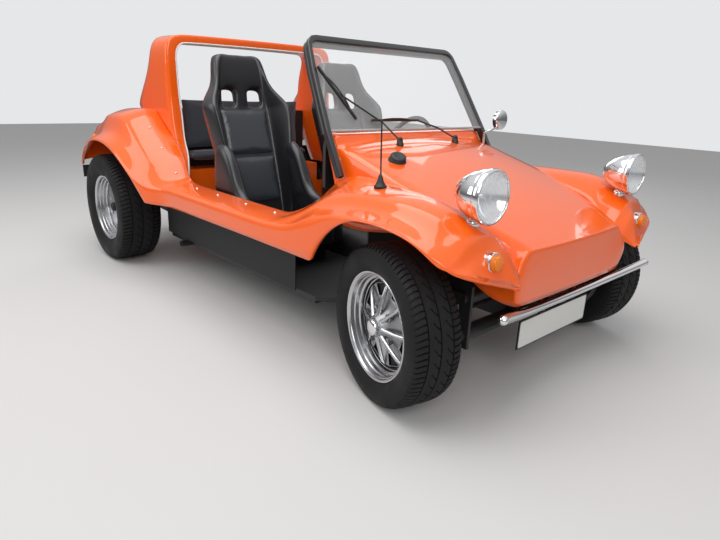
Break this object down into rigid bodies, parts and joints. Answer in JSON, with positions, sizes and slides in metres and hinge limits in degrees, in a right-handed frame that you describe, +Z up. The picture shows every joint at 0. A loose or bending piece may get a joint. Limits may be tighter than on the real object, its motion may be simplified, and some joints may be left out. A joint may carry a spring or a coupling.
{
  "type": "dune buggy",
  "caption": "Open four-seat dune buggy with a moulded body, separate wings, roll hoop, raked windscreen, bucket seats and steered front wheels.",
  "frame": {"origin": "on the ground, under the middle of the car's overall box", "axes": "+X forward, +Y the car's left, +Z up; each wheel spins about its own axle"},
  "size_m": [3.427, 1.812, 1.395],
  "materials": {
    "orange_body": "gloss",
    "black_frame": "satin",
    "glass": "clear",
    "black_steel": "satin",
    "dark_plastic": "satin",
    "seat_leather": "satin",
    "bench_cloth": "matte",
    "cast_alloy": "cast",
    "chrome": "polished",
    "rubber": "matte",
    "tyre": "matte",
    "wheel_silver": "satin",
    "lamp_glass": "clear",
    "amber": "gloss",
    "red_lens": "gloss",
    "plate": "gloss",
    "rusty_steel": "satin"
  },
  "bodies": {
    "root": {"body_front": "orange_body", "body_sides": "orange_body", "body_rear": "orange_body", "roll_hoop": "orange_body", "inner_tub": "orange_body", "bulkhead": "dark_plastic", "floor_pan": "black_steel", "windscreen_frame": "black_frame", "windscreen_glass": "glass", "dashboard": "dark_plastic", "seat_right": "seat_leather", "seat_left": "seat_leather", "rear_seat_cushion": "bench_cloth", "rear_seat_back": "bench_cloth", "front_axle": "black_steel", "front_suspension": "black_steel", "steering_column": "black_steel", "gearbox": "cast_alloy", "rear_suspension": "black_steel", "engine": "cast_alloy", "fan_shroud": "black_frame", "exhaust": "rusty_steel", "front_bumper": "chrome", "number_plates": "plate", "headlamp_bowls": "chrome", "headlamp_lenses": "lamp_glass", "signal_lamps": "amber", "tail_lamps": "red_lens", "mirror": "chrome", "antenna": "rubber", "fuel_cap": "dark_plastic", "wipers": "black_frame", "mud_flaps": "rubber", "levers": "black_frame"},
    "steering": {"steering_wheel": "dark_plastic"},
    "track_rods": {"tie_rods": "black_steel"},
    "hub_left": {"knuckle_left": "cast_alloy"},
    "hub_right": {"knuckle_right": "cast_alloy"},
    "wheel_front_left": {"tyre_front_left": "tyre", "rim_front_left": "wheel_silver"},
    "wheel_front_right": {"tyre_front_right": "tyre", "rim_front_right": "wheel_silver"},
    "wheel_rear_left": {"tyre_rear_left": "tyre", "rim_rear_left": "wheel_silver"},
    "wheel_rear_right": {"tyre_rear_right": "tyre", "rim_rear_right": "wheel_silver"}
  },
  "joints": [
    {"name": "steer_left", "type": "hinge", "parent": "root", "child": "hub_left", "pos_m": [1.318, 0.59, 0.305], "axis": [0, 0, 1], "range_deg": [-12.5, 39.5]},
    {"name": "steer_right", "type": "hinge", "parent": "root", "child": "hub_right", "pos_m": [1.318, -0.59, 0.305], "axis": [0, 0, 1], "range_deg": [-12.5, 39.5]},
    {"name": "track_rod_slide", "type": "slide", "parent": "root", "child": "track_rods", "axis": [0, 1, 0], "range_m": [-0.0229, 0.07214]},
    {"name": "steering_wheel_turn", "type": "hinge", "parent": "root", "child": "steering", "pos_m": [0.428, 0.35, 0.8], "axis": [-0.9487, 0, 0.3162], "range_deg": [-176, 554]},
    {"name": "spin_front_left", "type": "hinge", "parent": "hub_left", "child": "wheel_front_left", "pos_m": [1.33621, 0.66585, 0.305], "axis": [0.2334, 0.9724, 0], "continuous": true},
    {"name": "spin_rear_left", "type": "hinge", "parent": "root", "child": "wheel_rear_left", "pos_m": [-1.112, 0.77, 0.34], "axis": [0, 1, 0], "continuous": true},
    {"name": "spin_front_right", "type": "hinge", "parent": "hub_right", "child": "wheel_front_right", "pos_m": [1.29979, -0.66585, 0.305], "axis": [0.2334, 0.9724, 0], "continuous": true},
    {"name": "spin_rear_right", "type": "hinge", "parent": "root", "child": "wheel_rear_right", "pos_m": [-1.112, -0.77, 0.34], "axis": [0, 1, 0], "continuous": true}
  ],
  "couplings": [
    {"joint": "steer_right", "follows": "steer_left", "ratio": 1},
    {"joint": "track_rod_slide", "follows": "steer_left", "m_per_rad": 0.1045},
    {"joint": "steering_wheel_turn", "follows": "steer_left", "ratio": 14}
  ]
}
